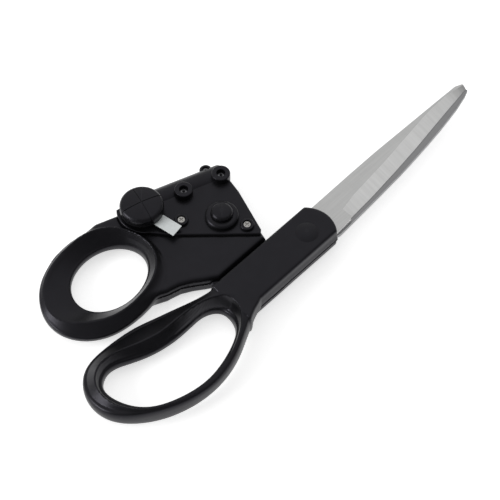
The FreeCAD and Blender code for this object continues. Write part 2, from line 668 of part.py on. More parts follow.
def pivot_cap():
    """The low domed cap over the pivot screw, let into the upper neck."""
    origin = Vector(0, 0, 0)
    ball_r = (CAP_R ** 2 + CAP_RISE ** 2) / (2 * CAP_RISE)
    button = rod(origin, HANDLE_TOP, HANDLE_TOP + CAP_RISE, CAP_R)
    button = button.common(Part.makeSphere(ball_r, Vector(0, 0, HANDLE_TOP + CAP_RISE - ball_r)))
    return button.fuse(rod(origin, 12.6, HANDLE_TOP, HEAD_POCKET_R - 0.05)).removeSplitter()


def main():
    """Build and write every piece."""
    os.makedirs("parts", exist_ok=True)
    origin = Vector(0, 0, 0)
    put("thumb_handle", thumb_handle())
    put("lower_blade", lower_blade())
    put("finger_handle", finger_handle())
    put("upper_blade", upper_blade())
    put("pivot_screw", pivot_screw())
    put("pivot_nut", pivot_nut())
    put("pivot_washer", tube(origin, 4.55, 5.35, 6.0, SHANK_R + 0.1))
    put("pivot_cap", pivot_cap())
    put("pivot_plug", rod(origin, 0, PLUG_THICK, NUT_POCKET_R - 0.02))
    put("laser_cover", laser_cover())
    put("cover_screws", Part.makeCompound([cover_screw(axis) for axis in COVER_SCREWS]))
    put("battery_cap", battery_cap())
    put("contact_disc", rod(BATTERY_AXIS, CAP_CEILING - 0.55, CAP_CEILING - 0.2, PLATE_R))
    spring_low = TAB_LEVEL + TAB_THICK + 0.1
    put("contact_spring", stacked_spring(BATTERY_AXIS, spring_low, CAP_CEILING - 0.6, 3.6, 0.5, 4))
    cell_low = WELL_FLOOR + 0.35
    put("button_cell_lower", button_cell(cell_low))
    put("button_cell_upper", button_cell(cell_low + CELL_HIGH + 0.02))
    put("battery_contact", battery_contact())
    put("pull_tab", pull_tab())
    put("power_button", power_button())
    put("button_spring", stacked_spring(BUTTON_AXIS, BOARD_TOP + 0.05, 10.9, 5.2, 0.5, 5))
    put("circuit_board", board_box((0, 0.1), BOARD_SIZE, BOARD_LOW, BOARD_TOP))
    put("switch_body", switch_body())
    put("switch_plunger", rod(BUTTON_AXIS, 7.4, PLUNGER_TOP, PLUNGER_R))
    put("resistor", board_box((5.8, 4.6), (2.0, 1.2), BOARD_TOP, BOARD_TOP + 0.6))
    put("laser_barrel", laser_barrel())
    put("laser_diode", laser_diode())
    put("line_lens", line_lens())
    put("laser_window", laser_window())
    put("battery_lead", battery_lead())
    put("laser_lead_red", laser_lead(1))
    put("laser_lead_black", laser_lead(-1))
    for name in ADJUSTERS:
        put("adjusting_screw_" + name, adjusting_screw(name))


main()
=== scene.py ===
import json
import math

import bmesh
import bpy
import numpy as np
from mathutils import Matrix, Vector


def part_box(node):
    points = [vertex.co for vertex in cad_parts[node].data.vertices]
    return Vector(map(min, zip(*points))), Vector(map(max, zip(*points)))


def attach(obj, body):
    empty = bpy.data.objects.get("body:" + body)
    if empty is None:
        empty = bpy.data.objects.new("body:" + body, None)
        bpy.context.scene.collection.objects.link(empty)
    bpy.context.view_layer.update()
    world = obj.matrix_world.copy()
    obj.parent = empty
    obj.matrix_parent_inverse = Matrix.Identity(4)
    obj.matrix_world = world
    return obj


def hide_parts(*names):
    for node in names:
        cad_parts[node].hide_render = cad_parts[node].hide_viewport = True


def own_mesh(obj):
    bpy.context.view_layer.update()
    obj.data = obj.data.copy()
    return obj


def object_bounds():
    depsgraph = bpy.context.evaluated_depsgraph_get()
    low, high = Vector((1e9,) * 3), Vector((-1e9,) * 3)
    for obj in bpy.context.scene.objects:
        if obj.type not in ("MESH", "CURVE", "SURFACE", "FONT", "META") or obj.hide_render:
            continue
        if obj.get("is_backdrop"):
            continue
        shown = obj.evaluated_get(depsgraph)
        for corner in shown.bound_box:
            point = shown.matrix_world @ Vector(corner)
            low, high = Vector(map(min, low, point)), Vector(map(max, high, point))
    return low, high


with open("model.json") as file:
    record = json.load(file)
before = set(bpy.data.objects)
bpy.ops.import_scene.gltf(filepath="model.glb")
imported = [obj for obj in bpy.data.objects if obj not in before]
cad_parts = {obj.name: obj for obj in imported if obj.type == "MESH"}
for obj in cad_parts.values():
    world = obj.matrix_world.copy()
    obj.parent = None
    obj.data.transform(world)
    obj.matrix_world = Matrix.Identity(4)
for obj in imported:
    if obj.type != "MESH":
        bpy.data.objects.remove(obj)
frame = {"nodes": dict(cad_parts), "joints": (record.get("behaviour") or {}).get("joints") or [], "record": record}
cad_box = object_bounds()

# Laser-guided dressmaker's shears, lying on a table. Lengths are millimetres unless a name ends in _M.
# Levels, heights, slices and h are measured from the plane in which the blades slide on each other, and
# BLADE_PLANE is that plane's height above the table.
MM = 0.001

# ---- levels of the frame ---------------------------------------------------------------------------
BLADE_PLANE = 7.5
SLIDE_GAP = 0.05
CREST = 7.5
WEB_RISE = 3.5
RING_UNDERSIDE = -5.5

# ---- handle sections, by heading in degrees round the middle of the hole ---------------------------
# Shares run from 0 at the hole to 1 at the outer edge. Each row gives the lip's share and height, the
# crest's, the outer wall's, and the levels of the inner and outer edge.
FINGER_SECTION = {
    -170: (0.40, 5.6, 0.52, 6.4, 0.66, 5.2, -2.0, 0.5),
    -140: (0.48, 5.6, 0.54, 6.0, 0.60, 5.4, -1.5, 1.5),
    -110: (0.50, 5.0, 0.56, 5.2, 0.60, 4.8, -0.5, 1.5),
    -80: (0.48, 4.6, 0.54, 4.7, 0.58, 4.5, -0.5, 1.5),
    -50: (0.42, 5.4, 0.50, 5.8, 0.60, 5.4, -1.0, 1.5),
    -25: (0.28, 4.4, 0.46, 7.2, 0.72, 6.4, -2.0, 0.5),
    5: (0.10, 0.0, 0.38, 7.5, 0.72, 7.2, -2.5, 0.0),
    35: (0.06, 0.0, 0.34, 7.2, 0.80, 4.0, -2.5, 0.0),
    70: (0.06, 0.2, 0.28, 5.6, 0.88, -0.5, -2.0, -2.0),
    115: (0.06, 0.2, 0.28, 5.6, 0.88, -0.8, -2.0, -2.0),
    150: (0.16, 1.5, 0.34, 6.0, 0.82, 1.5, -2.0, -1.5),
}
THUMB_SECTION = {
    -180: (0.12, 0.0, 0.80, 3.4, 0.94, 1.6, -2.0, -0.5),
    -155: (0.08, -0.6, 0.54, 4.6, 0.96, 0.6, -2.8, 0.0),
    -120: (0.08, -0.4, 0.52, 5.0, 0.96, 0.8, -3.0, 0.0),
    -88: (0.10, 0.2, 0.46, 5.8, 0.95, 1.4, -3.0, 0.0),
    -50: (0.12, 1.5, 0.46, 6.8, 0.92, 3.0, -3.0, -0.5),
    -20: (0.12, 1.5, 0.56, 7.4, 0.88, 4.8, -2.5, 0.0),
    5: (0.12, 1.0, 0.72, 7.5, 0.90, 5.6, -2.0, 0.0),
    44: (0.10, 0.4, 0.82, 7.4, 0.96, 5.0, -1.5, 0.0),
    90: (0.10, 0.6, 0.80, 6.4, 0.97, 3.8, -1.5, 0.0),
    134: (0.10, 1.0, 0.84, 5.0, 0.97, 3.0, -1.5, -0.5),
    160: (0.10, 1.2, 0.86, 3.6, 0.96, 2.2, -1.5, -0.5),
}
# The share of the width over which the underside rounds, the degrees over which the rows melt into each
# other, and the power of the section's curve, in which 2 would be an ellipse.
UNDER_SHARE = 0.5
HEADING_BLUR = 9.0
ROUNDNESS = 2.4
SHARE_LIMITS = (-0.5, 1.5)
LEAST_WIDTH = 1.0

# ---- finger handle ---------------------------------------------------------------------------------
# The neck starts a bar's width off the hole and a little past its end. Inside the relief's radius round
# the pivot the underside clears the other half, and the blade's tang has a slot up to its top.
FINGER_SLICE = 2.6
NECK_EDGE_R = 1.5
NECK_BLEND = 2.0
BAR_WIDTH = 4.6
NECK_PAST_HOLE = 3.0
LOOP_RELIEF_R = 51.5
TANG_TOP = 2.05

# ---- thumb handle: the ring and its web ------------------------------------------------------------
# The ring is drawn in a little from its CAD outline and the web overlaps it. The web is two slabs, each
# with a lower and an upper edge radius. A flank is a pair of distances from the middle of the hole, along
# the web's bearing: where the web starts to slim down, and where it ends inside the ring. The near flank
# is on the neck's side and the far one on the battery's.
THUMB_INSET = 0.7
RING_SLICE_ABOVE_WEB = 0.2
RING_BLEND = 2.5
WEB_SLICE = 1.5
WEB_EDGE_R = (3.0, 2.5)
LOWER_WEB_SLICE = -3.0
LOWER_WEB_EDGE_R = (4.5, 0.3)
WEB_OVERLAP = 3.0
WEB_BEARING = 13.5
NEAR_FLANK = (6.0, -5.0)
FAR_FLANK = (-6.0, -20.0)
WEB_SLIM = 3.5

# ---- thumb handle: the housing's back, and rooms for what it holds ---------------------------------
# The tube's reach and the ridge's back end are distances along the laser's axis from its pivot. A wall
# beside the cover that would come out thinner than the thinnest wall is left out.
TUBE_R = 7.2
TUBE_LEVEL = -1.5
TUBE_REACH = (-45.0, 5.0)
RIDGE_BACK = -33.3
COVER_SLICE = 3.5
COVER_SEAT = 2.9
COVER_GAP = 0.3
THINNEST_WALL = 1.4
WELL_R = 6.1
WELL_FLOOR = -4.5
NUT_POCKET_R = 7.2
NUT_POCKET_TOP = -2.05
BLADE_SLICE = 0.1
BLADE_ROOM = 0.1

# ---- springs ---------------------------------------------------------------------------------------
SPRING_WIRE = 0.5
WIRE_SIDES = 10
STEPS_A_TURN = 28
CLOSED_TURNS = 0.8
CONTACT_SPRING_TURNS = 4
BUTTON_SPRING_TURNS = 5

# ---- mesh grid -------------------------------------------------------------------------------------
# The level shift keeps grid points off the flat faces. The relaxing and snapping are in grid cells.
GRID = 0.5
MARGIN = 2.5
SPARE_LEVELS = 4
LEVEL_SHIFT = 0.11
WELD_M = 1e-7
SHORTEST_EDGE2 = 1e-12
LEAST_STEEPNESS = 0.02
FIELD_LIMIT = 8
RELAX_ROUNDS = 3
RELAX_SHARE = 0.4
SNAPS_A_ROUND = 2
LEAST_SLOPE2 = 0.05
LONGEST_SNAP = 0.5

# ---- plastic and steel -----------------------------------------------------------------------------
# Steel colours run from dark to light. A face whose normal's Z is the first tilt is all bevel, and one
# whose normal's Z is the second is all flat.
PLASTIC_DARK = (0.0035, 0.0035, 0.00385)
PLASTIC_LIGHT = (0.00595, 0.00595, 0.006825)
# The lighter colour given to sharp convex edges.
PLASTIC_EDGE_LIGHTER = (0.0112, 0.0112, 0.01225)
PLASTIC_SHEEN = (0.88, 0.86, 1.0, 1)
PLASTIC_SPECULAR = 0.3
PLASTIC_ROUGHNESS = (0.30, 0.38)
STEEL_FLAT = ((0.56, 0.56, 0.555), (0.62, 0.62, 0.615))
STEEL_BEVEL = ((0.74, 0.74, 0.735), (0.84, 0.84, 0.835))
# Painted shade: the lower blade's darker steel colour stands in for the upper blade's shadow.
STEEL_PAINTED_SHADE = (0.30, 0.30, 0.305)
STEEL_ROUGHNESS = (0.34, 0.46)
GRIND_ANGLE = -2.7
BEVEL_TILT = (0.985, 0.995)

# ---- studio ----------------------------------------------------------------------------------------
FLOOR_HALF_M = 6.0
FLOOR_DROP_M = 0.0002
FLOOR_GLOW = 0.62
# The sky's reflector is brightest in one direction and fades out between two cosines of the angle to it.
REFLECTOR = (0.37, 0.36, 0.86)
REFLECTOR_FADE = (0.30, 0.98)
SKY_DARK = 0.22
SKY_BRIGHT = 0.80
CAMERA_AZIMUTH = -45.8
CAMERA_ELEVATION = 57
CAMERA_DISTANCE_M = 0.9
CAMERA_LENS = 137.9
CAMERA_SENSOR = 36
CAMERA_AIM_M = Vector((-22.15, 15.54, BLADE_PLANE)) * MM
KEY_AZIMUTH = CAMERA_AZIMUTH - 72
KEY_ELEVATION = 24
KEY_DISTANCE_M = 1.2
KEY_SIZE_M = (0.6, 0.5)
KEY_POWER = 7


# ---- outlines read from the frame ------------------------------------------------------------------
def section(node, z):
    """The closed outlines, in millimetres, where a level plane cuts a CAD node, widest first."""
    cut_mesh = bmesh.new()
    cut_mesh.from_mesh(frame["nodes"][node].data)
    bmesh.ops.remove_doubles(cut_mesh, verts=cut_mesh.verts, dist=WELD_M)
    everything = cut_mesh.verts[:] + cut_mesh.edges[:] + cut_mesh.faces[:]
    cut = bmesh.ops.bisect_plane(cut_mesh, geom=everything, plane_co=(0, 0, z * MM), plane_no=(0, 0, 1))
    edges = [item for item in cut["geom_cut"] if isinstance(item, bmesh.types.BMEdge)]
    links = {}
    for edge in edges:
        first, last = edge.verts
        links.setdefault(first, []).append(last)
        links.setdefault(last, []).append(first)
    outlines = []
    while links:
        here = next(iter(links))
        outline = []
        while here in links:
            outline.append((here.co.x / MM, here.co.y / MM))
            onward = [vert for vert in links.pop(here) if vert in links]
            here = onward[0] if onward else None
        outlines.append(np.array(outline))
    cut_mesh.free()
    return sorted(outlines, key=lambda points: -np.ptp(points[:, 0]) * np.ptp(points[:, 1]))


def inside_distance(outline, x, y):
    """The distance to an outline, positive inside it."""
    nearest = np.full(x.shape, np.inf)
    crossings = np.zeros(x.shape, bool)
    for (x0, y0), (x1, y1) in zip(outline, np.roll(outline, -1, axis=0)):
        along_x = x1 - x0
        along_y = y1 - y0
        length2 = along_x ** 2 + along_y ** 2
        if length2 < SHORTEST_EDGE2:
            continue
        share = np.clip(((x - x0) * along_x + (y - y0) * along_y) / length2, 0, 1)
        nearest = np.minimum(nearest, (x - x0 - share * along_x) ** 2 + (y - y0 - share * along_y) ** 2)
        if along_y != 0:
            spans = (y0 > y) != (y1 > y)
            crossings ^= spans & (x < x0 + (y - y0) * along_x / along_y)
    return np.where(crossings, 1, -1) * np.sqrt(nearest)


# ---- solid fields: negative inside -----------------------------------------------------------------
def grid_for(node):
    """Plan coordinates and heights above the blade plane for a grid round a CAD node."""
    low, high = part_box(node)
    x = np.arange(low.x / MM - MARGIN, high.x / MM + MARGIN, GRID)
    y = np.arange(low.y / MM - MARGIN, high.y / MM + MARGIN, GRID)
    spare = SPARE_LEVELS * GRID
    h = np.arange(-BLADE_PLANE - spare + LEVEL_SHIFT, BLADE_PLANE + spare, GRID)
    plan_x, plan_y = np.meshgrid(x, y, indexing="ij")
    return plan_x, plan_y, h


def rounded_slab(inside, h, low, high, edge_r):
    """A slab over a plan, from its inside distance, with its lower and upper edges rounded."""
    middle = (low + high) / 2
    half = (high - low) / 2
    radius = np.where(h > middle, edge_r[1], edge_r[0])
    side = -inside[..., None] + radius
    rise = np.abs(h - middle) - half + radius
    outer = np.hypot(np.maximum(side, 0), np.maximum(rise, 0))
    return outer + np.minimum(np.maximum(side, rise), 0) - radius


def by_heading(heading, sections):
    """The section's figures at each heading, read smoothly round a table."""
    angles = sorted(sections)
    table = np.array([sections[angle] for angle in angles])
    fine = np.arange(-180, 180)
    away = np.abs((fine[:, None] - fine[None, :] + 180) % 360 - 180)
    weight = np.exp(-0.5 * (away / HEADING_BLUR) ** 2)
    weight /= weight.sum(1, keepdims=True)
    for column in table.T:
        smooth = weight @ np.interp(fine, angles, column, period=360)
        yield np.interp(heading, fine, smooth, period=360)


def ring_field(to_hole, to_outer, heading, h, sections):
    """A ring whose cross-section changes with heading: rounded up from the hole's edge to a lip, sloping
    to a crest and on to the outer wall, and rounded down to the outer edge."""
    share = np.clip(to_hole / np.maximum(to_hole + to_outer, LEAST_WIDTH), *SHARE_LIMITS)
    lip, lip_high, crest, crest_high, wall, wall_high, edge_in, edge_out = by_heading(heading, sections)
    over = np.maximum(np.maximum(lip - share, 0) / lip, np.maximum(share - wall, 0) / (1 - wall))
    under = np.maximum(np.abs(share - 0.5) - 0.5 + UNDER_SHARE, 0) / UNDER_SHARE
    rise = np.clip((share - lip) / (crest - lip), 0, 1)
    fall = np.clip((share - crest) / (wall - crest), 0, 1)
    top = lip_high + (crest_high - lip_high) * rise + (wall_high - crest_high) * fall
    edge = edge_in + (edge_out - edge_in) * np.clip(share, 0, 1)
    level = h - edge[..., None]
    reach = np.where(level > 0, (top - edge)[..., None], (edge - RING_UNDERSIDE)[..., None])
    side = np.where(level > 0, over[..., None], under[..., None])
    field = (side ** ROUNDNESS + (np.abs(level) / reach) ** ROUNDNESS) ** (1 / ROUNDNESS) - 1
    return as_distance(field)


def as_distance(field):
    """Scale a field so that near its surface it measures distance."""
    steepness = np.sqrt(sum(part ** 2 for part in np.gradient(field, GRID)))
    return np.clip(field / np.maximum(steepness, LEAST_STEEPNESS), -FIELD_LIMIT, FIELD_LIMIT)


def blended(first, second, reach):
    """The union of two fields with a soft fillet between them."""
    mix = np.maximum(reach - np.abs(first - second), 0) / reach
    return np.minimum(first, second) - mix ** 3 * reach / 6


def tube_field(plan_x, plan_y, h):
    """The laser's tube, halved under the cover's ridge, and how far each plan point lies to its side."""
    aim = next(joint for joint in frame["joints"] if joint["name"] == "laser_aim")
    pivot = Vector(aim["pos_m"]) / MM
    side_way = -Vector(aim["axis"])
    side = (plan_x - pivot.x) * side_way.x + (plan_y - pivot.y) * side_way.y
    along = (plan_x - pivot.x) * side_way.y - (plan_y - pivot.y) * side_way.x
    tube = np.hypot(side[..., None], h - TUBE_LEVEL) - TUBE_R
    ends = np.maximum(TUBE_REACH[0] - along, along - TUBE_REACH[1])
    tube = np.maximum(np.maximum(tube, ends[..., None]), -BLADE_PLANE - h)
    open_top = np.where((along > RIDGE_BACK)[..., None], h - TUBE_LEVEL, -TUBE_R)
    return np.maximum(tube, open_top), side


# ---- from field to mesh ----------------------------------------------------------------------------
def sampled(field, points):
    """Read a field between its grid points."""
    cell = np.clip(np.floor(points).astype(int), 0, np.array(field.shape) - 2)
    part = points - cell
    value = np.zeros(len(points))
    for corner in np.ndindex(2, 2, 2):
        weight = np.prod(np.where(corner, part, 1 - part), axis=1)
        value += weight * field[tuple((cell + corner).T)]
    return value


def surface_net(field, start):
    """A smooth quad mesh on the zero level of a field that is negative inside, in metres."""
    cells = tuple(n - 1 for n in field.shape)
    total = np.zeros(cells + (3,))
    count = np.zeros(cells)
    crossing_edges = []
    for axis in range(3):
        others = [k for k in range(3) if k != axis]
        low = field[tuple(slice(0, -1) if k == axis else slice(None) for k in range(3))]
        high = field[tuple(slice(1, None) if k == axis else slice(None) for k in range(3))]
        crosses = (low < 0) != (high < 0)
        index = np.argwhere(crosses)
        share = low[crosses] / (low[crosses] - high[crosses])
        crossing_edges.append((axis, others, index, low[crosses] < 0))
        point = index.astype(float)
        point[:, axis] += share
        for back in np.ndindex(2, 2):
            cell = index.copy()
            cell[:, others[0]] -= back[0]
            cell[:, others[1]] -= back[1]
            good = np.all((cell >= 0) & (cell < cells), axis=1)
            np.add.at(total, tuple(cell[good].T), point[good])
            np.add.at(count, tuple(cell[good].T), 1)
    used = np.argwhere(count > 0)
    number = np.full(cells, -1)
    number[tuple(used.T)] = np.arange(len(used))
    points = total[tuple(used.T)] / count[tuple(used.T)][:, None]
    quads = []
    for axis, others, index, starts_inside in crossing_edges:
        corner = []
        for back in ((1, 1), (0, 1), (0, 0), (1, 0)):
            cell = index.copy()
            cell[:, others[0]] -= back[0]
            cell[:, others[1]] -= back[1]
            corner.append(number[tuple(np.clip(cell, 0, np.array(cells) - 1).T)])
        quad = np.stack(corner, axis=1)
        turn = starts_inside if axis != 1 else ~starts_inside
        quad[~turn] = quad[~turn][:, ::-1]
        quads.append(quad)
    quads = np.concatenate(quads)
    points = relaxed(points, quads, field)
    return points * GRID * MM + np.array(start) * MM, quads


def relaxed(points, quads, field):
    """Even out the mesh, then put its points back on the field's zero level."""
    edges = np.concatenate([quads[:, [0, 1]], quads[:, [1, 2]], quads[:, [2, 3]], quads[:, [3, 0]]])
    slopes = np.gradient(field)
    for _ in range(RELAX_ROUNDS):
        pull = np.zeros_like(points)
        links = np.zeros(len(points))
        np.add.at(pull, edges[:, 0], points[edges[:, 1]])
        np.add.at(links, edges[:, 0], 1)
        points = points + RELAX_SHARE * (pull / links[:, None] - points)
        for _ in range(SNAPS_A_ROUND):
            value = sampled(field, points)
            slope = np.stack([sampled(part, points) for part in slopes], axis=1)
            steep = np.maximum((slope ** 2).sum(1), LEAST_SLOPE2)
            step = slope * (value / steep)[:, None]
            points = points - np.clip(step, -LONGEST_SNAP, LONGEST_SNAP)
    return points


def add_piece(name, mesh, material, body, node):
    """Put a mesh in the scene as a piece that rides on a body and stands for a CAD node."""
    mesh.shade_smooth()
    mesh.materials.append(material)
    piece = bpy.data.objects.new(name, mesh)
    bpy.context.scene.collection.objects.link(piece)
    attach(piece, body)
    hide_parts(node)
    return piece


def add_shell(node, body, field, grid, material):
    """Make a field's surface the piece that stands for one of the handles."""
    plan_x, plan_y, h = grid
    start = (plan_x[0, 0], plan_y[0, 0], h[0] + BLADE_PLANE)
    points, quads = surface_net(field, start)
    mesh = bpy.data.meshes.new(node + "_shell")
    mesh.from_pydata(points.tolist(), [], quads.tolist())
    mesh.update()
    add_piece(node + "_shell", mesh, material, body, node)


# ---- the two handles -------------------------------------------------------------------------------
def slice_distance(node, level, grid):
    """The inside distance to the widest outline of a CAD node at a level."""
    return inside_distance(section(node, BLADE_PLANE + level)[0], grid[0], grid[1])


def hole_middle(hole):
    """The middle of a finger hole's outline."""
    return (hole.min(0) + hole.max(0)) / 2


def heading_round(middle, grid):
    """The heading of every plan point, in degrees, round a middle point."""
    return np.degrees(np.arctan2(grid[1] - middle[1], grid[0] - middle[0]))


def cut_away(field, plan_room, level_room):
    """Take a room out of a solid, where both its plan and its level are negative."""
    return np.maximum(field, -np.maximum(plan_room[..., None], level_room))


def finger_handle(plastic):
    """The finger loop, with a wedge-shaped upper bar and a slim lower one, and its flat-topped neck."""
    grid = grid_for("finger_handle")
    plan_x, plan_y, h = grid
    outline, hole = section("finger_handle", BLADE_PLANE + FINGER_SLICE)[:2]
    to_outer = inside_distance(outline, plan_x, plan_y)
    to_hole = -inside_distance(hole, plan_x, plan_y)
    loop = ring_field(to_hole, to_outer, heading_round(hole_middle(hole), grid), h, FINGER_SECTION)
    neck = rounded_slab(to_outer, h, RING_UNDERSIDE, CREST, (NECK_EDGE_R, NECK_EDGE_R))
    scoop = BAR_WIDTH - to_hole
    neck_end = hole[:, 0].max() + NECK_PAST_HOLE - plan_x
    neck = np.maximum(neck, np.maximum(scoop, neck_end)[..., None])
    field = blended(loop, neck, NECK_BLEND)
    under_loop = np.hypot(plan_x, plan_y) - LOOP_RELIEF_R
    field = cut_away(field, under_loop, h - SLIDE_GAP)
    blade = slice_distance("upper_blade", BLADE_SLICE, grid)
    field = cut_away(field, -blade - BLADE_ROOM, h - SLIDE_GAP - TANG_TOP)
    add_shell("finger_handle", "finger_half", field, grid, plastic)


def web_limits(middle, grid):
    """How much slimmer the web is at each plan point, and a field that ends it inside the ring."""
    bearing = math.radians(WEB_BEARING)
    away_x = grid[0] - middle[0]
    away_y = grid[1] - middle[1]
    webward = away_x * math.cos(bearing) + away_y * math.sin(bearing)
    sideways = away_y * math.cos(bearing) - away_x * math.sin(bearing)
    full = np.where(sideways < 0, NEAR_FLANK[0], FAR_FLANK[0])
    end = np.where(sideways < 0, NEAR_FLANK[1], FAR_FLANK[1])
    slimmer = np.clip((full - webward) / (full - end), 0, 1) * WEB_SLIM
    return slimmer, end - webward


def open_housing(field, web_plan, grid):
    """Take the cover's seat, the battery well, the nut pocket and the blade's slot out of the handle."""
    plan_x, plan_y, h = grid
    cover = slice_distance("laser_cover", COVER_SLICE, grid)
    field = cut_away(field, -cover - COVER_GAP, COVER_SEAT - h)
    field = cut_away(field, web_plan - cover - THINNEST_WALL, COVER_SEAT - h)
    cell_low, cell_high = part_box("button_cell_lower")
    well_x = (cell_low.x + cell_high.x) / 2 / MM
    well_y = (cell_low.y + cell_high.y) / 2 / MM
    well = np.hypot(plan_x - well_x, plan_y - well_y) - WELL_R
    field = cut_away(field, well, WELL_FLOOR - h)
    nut_pocket = np.hypot(plan_x, plan_y) - NUT_POCKET_R
    field = cut_away(field, nut_pocket, h - NUT_POCKET_TOP)
    blade = slice_distance("lower_blade", -BLADE_SLICE, grid)
    return cut_away(field, -blade - BLADE_ROOM, NUT_POCKET_TOP - h)


def thumb_handle(plastic):
    """The thumb ring, sloping into its hole, with the web, lower neck and back of the housing."""
    grid = grid_for("thumb_handle")
    plan_x, plan_y, h = grid
    outline, hole = section("thumb_handle", BLADE_PLANE + WEB_RISE + RING_SLICE_ABOVE_WEB)[:2]
    to_ring = inside_distance(outline, plan_x, plan_y)
    to_hole = -inside_distance(hole, plan_x, plan_y)
    middle = hole_middle(hole)
    ring = ring_field(to_hole, to_ring - THUMB_INSET, heading_round(middle, grid), h, THUMB_SECTION)
    tube, side = tube_field(plan_x, plan_y, h)
    slimmer, past_end = web_limits(middle, grid)
    web_plan = np.minimum(slice_distance("thumb_handle", WEB_SLICE, grid), -side) - slimmer
    web = rounded_slab(web_plan, h, -BLADE_PLANE, WEB_RISE, WEB_EDGE_R)
    lower_plan = np.minimum(slice_distance("thumb_handle", LOWER_WEB_SLICE, grid), -side) - slimmer
    lower_web = rounded_slab(lower_plan, h, -BLADE_PLANE, -SLIDE_GAP, LOWER_WEB_EDGE_R)
    outside_ring = np.maximum(to_ring - WEB_OVERLAP, past_end)
    flanks = np.maximum(np.minimum(np.minimum(web, lower_web), tube), outside_ring[..., None])
    field = open_housing(blended(ring, flanks, RING_BLEND), web_plan, grid)
    add_shell("thumb_handle", "thumb_half", field, grid, plastic)


# ---- springs ---------------------------------------------------------------------------------------
def coil_points(low, high, turns):
    """The rings of points round a wire that climbs through a box, with closed turns at both ends."""
    middle = (low + high) / 2
    wire_r = SPRING_WIRE / 2 * MM
    coil_r = (high.x - low.x) / 2 - wire_r
    turn = np.linspace(0, turns, turns * STEPS_A_TURN + 1)
    climb = np.clip((turn - CLOSED_TURNS) / (turns - 2 * CLOSED_TURNS), 0, 1)
    level = low.z + wire_r + climb * (high.z - low.z - 2 * wire_r)
    angle = 2 * math.pi * turn
    lines = []
    for k in range(WIRE_SIDES):
        round_wire = 2 * math.pi * k / WIRE_SIDES
        reach = coil_r + wire_r * math.cos(round_wire)
        x = middle.x + reach * np.cos(angle)
        y = middle.y + reach * np.sin(angle)
        z = level + wire_r * math.sin(round_wire)
        lines.append(np.stack([x, y, z], axis=1))
    return np.stack(lines, axis=1).reshape(-1, 3)


def coil(node, body, turns, material):
    """A round-wire helical spring, which fills a CAD spring's box."""
    low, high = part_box(node)
    points = coil_points(low, high, turns)
    last = len(points) - 1
    faces = [tuple(range(WIRE_SIDES)), tuple(range(last, last - WIRE_SIDES, -1))]
    for step in range(turns * STEPS_A_TURN):
        for k in range(WIRE_SIDES):
            here = step * WIRE_SIDES + k
            beside = step * WIRE_SIDES + (k + 1) % WIRE_SIDES
            faces.append((here, here + WIRE_SIDES, beside + WIRE_SIDES, beside))
    mesh = bpy.data.meshes.new(node + "_coil")
    mesh.from_pydata(points.tolist(), [], faces)
    return add_piece(node + "_coil", mesh, material, body, node)


def springs(materials):
    """The contact spring in the battery cap and the return spring that the button squeezes."""
    nickel = materials["contact_metal"]
    coil("contact_spring", "cap_contact", CONTACT_SPRING_TURNS, nickel)
    steel = materials["spring_steel"]
    piece = coil("button_spring", "thumb_half", BUTTON_SPRING_TURNS, steel)
    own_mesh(piece)


# ---- materials -------------------------------------------------------------------------------------
def new_material(name):
    """An empty node material with its shader, its output and object coordinates in millimetres."""
    made = bpy.data.materials.new(name)
    made.use_nodes = True
    shader = made.node_tree.nodes["Principled BSDF"]
    place = made.node_tree.nodes.new("ShaderNodeTexCoord")
    scale = made.node_tree.nodes.new("ShaderNodeMapping")
    scale.inputs["Scale"].default_value = (1 / MM, 1 / MM, 1 / MM)
    made.node_tree.links.new(place.outputs["Object"], scale.inputs["Vector"])
    return made, shader, scale.outputs["Vector"]


def noise(made, where, scale, detail=3.0, stretch=(1, 1, 1), turn=0.0):
    """A noise texture, optionally stretched and turned about Z."""
    nodes = made.node_tree.nodes
    links = made.node_tree.links
    mapping = nodes.new("ShaderNodeMapping")
    mapping.inputs["Scale"].default_value = stretch
    mapping.inputs["Rotation"].default_value = (0, 0, turn)
    texture = nodes.new("ShaderNodeTexNoise")
    texture.inputs["Scale"].default_value = scale
    texture.inputs["Detail"].default_value = detail
    links.new(where, mapping.inputs["Vector"])
    links.new(mapping.outputs["Vector"], texture.inputs["Vector"])
    return texture.outputs["Fac"]


def spread(made, value, low, high, low_in=0.3, high_in=0.7):
    """Map a value from one range to another, by default from the middle of a noise texture's."""
    node = made.node_tree.nodes.new("ShaderNodeMapRange")
    node.inputs["From Min"].default_value = low_in
    node.inputs["From Max"].default_value = high_in
    node.inputs["To Min"].default_value = low
    node.inputs["To Max"].default_value = high
    made.node_tree.links.new(value, node.inputs["Value"])
    return node.outputs["Result"]


def mixed(made, share, first, second):
    """A colour between two, by a share."""
    node = made.node_tree.nodes.new("ShaderNodeMix")
    node.data_type = "RGBA"
    for socket, value in ((node.inputs["A"], first), (node.inputs["B"], second)):
        if isinstance(value, tuple):
            socket.default_value = value + (1.0,)
        else:
            made.node_tree.links.new(value, socket)
    made.node_tree.links.new(share, node.inputs["Factor"])
    return node.outputs["Result"]


def speckled(made, fine, colour, dark_share):
    """A colour that a fine noise darkens here and there."""
    dark = tuple(dark_share * part for part in colour)
    return mixed(made, spread(made, fine, 0, 1), dark, colour)


def bump(made, shader, height, strength, distance_mm):
    """Raise the surface by a texture."""
    node = made.node_tree.nodes.new("ShaderNodeBump")
    node.inputs["Strength"].default_value = strength
    node.inputs["Distance"].default_value = distance_mm * MM
    made.node_tree.links.new(height, node.inputs["Height"])
    made.node_tree.links.new(node.outputs["Normal"], shader.inputs["Normal"])


